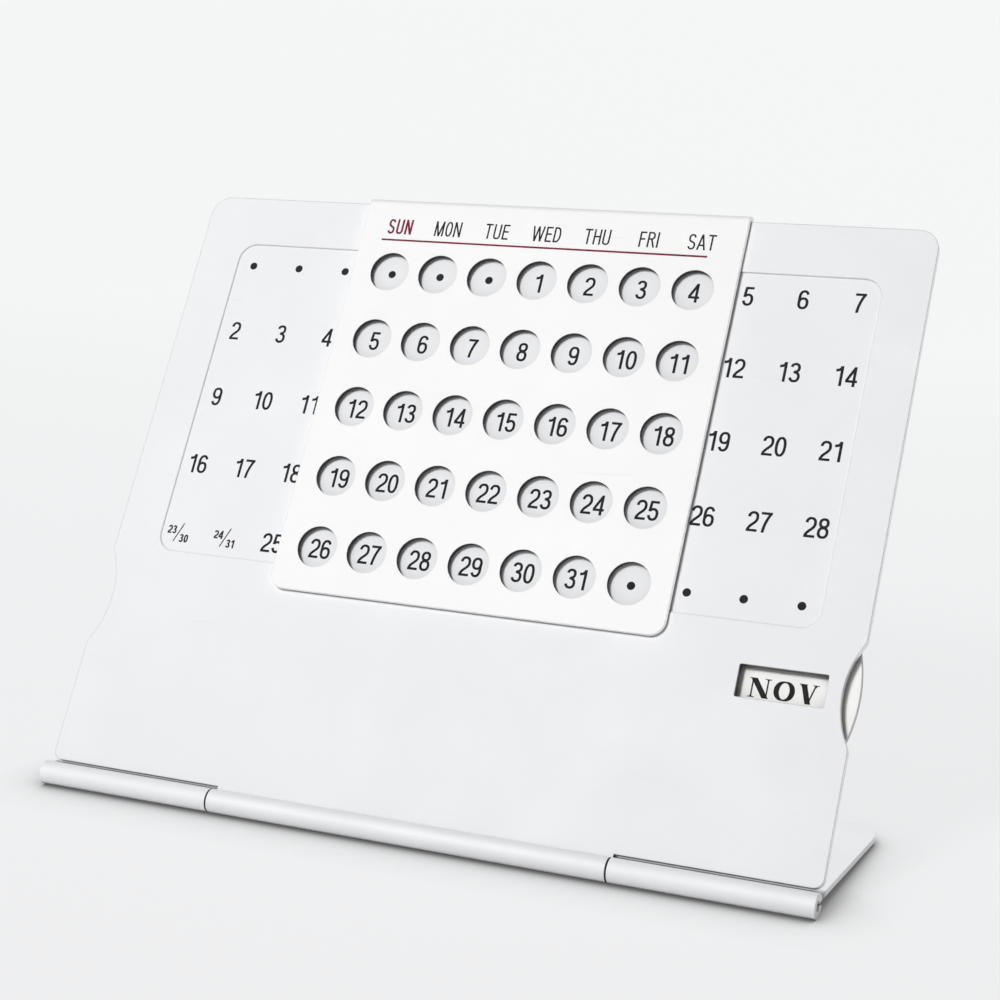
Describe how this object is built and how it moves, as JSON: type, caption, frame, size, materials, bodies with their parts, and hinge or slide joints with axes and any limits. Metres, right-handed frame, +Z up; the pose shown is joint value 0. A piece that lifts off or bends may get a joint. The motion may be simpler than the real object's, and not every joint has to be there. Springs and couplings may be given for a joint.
{
  "type": "perpetual desk calendar",
  "caption": "Perpetual desk calendar: a sheet-metal face leaning on a hinged base, with a holed date slider hooked over its top edge and a month disc turning behind a window.",
  "frame": {"origin": "on the desk, below the middle of the whole outline", "axes": "+X right along the hinge as the reader sees it, -Y towards the reader, +Z up"},
  "size_m": [0.1444, 0.0646, 0.1042],
  "materials": {
    "anodised_base": "fine satin anodised",
    "anodised_face": "fine matt anodised",
    "slider_white": "matt white coat on aluminium sheet",
    "pin_steel": "drawn wire",
    "stud_aluminium": "turned",
    "spring_steel": "rolled spring steel",
    "spacer_plastic": "natural nylon",
    "disc_plastic": "moulded white, fine satin",
    "pad_rubber": "matt"
  },
  "bodies": {
    "base": {"base_plate": "anodised_base", "hinge_pin": "pin_steel", "foot_pad_left": "pad_rubber", "foot_pad_right": "pad_rubber"},
    "face": {"face_plate": "anodised_face", "pivot_stud": "stud_aluminium", "disc_spacer": "spacer_plastic", "spring_washer": "spring_steel", "push_nut": "spring_steel"},
    "month_wheel": {"month_disc": "disc_plastic"},
    "slider": {"date_slider": "slider_white"}
  },
  "joints": [
    {"name": "face_fold", "type": "hinge", "parent": "base", "child": "face", "pos_m": [0, -0.03022, 0.0021], "axis": [1, 0, 0], "range_deg": [0, 117.5]},
    {"name": "month_turn", "type": "hinge", "parent": "face", "child": "month_wheel", "pos_m": [0.0453, -0.01031, 0.03041], "axis": [0, -0.8619, 0.5071], "continuous": true},
    {"name": "date_slide", "type": "slide", "parent": "face", "child": "slider", "axis": [1, 0, 0], "range_m": [-0.03, 0.03]}
  ]
}
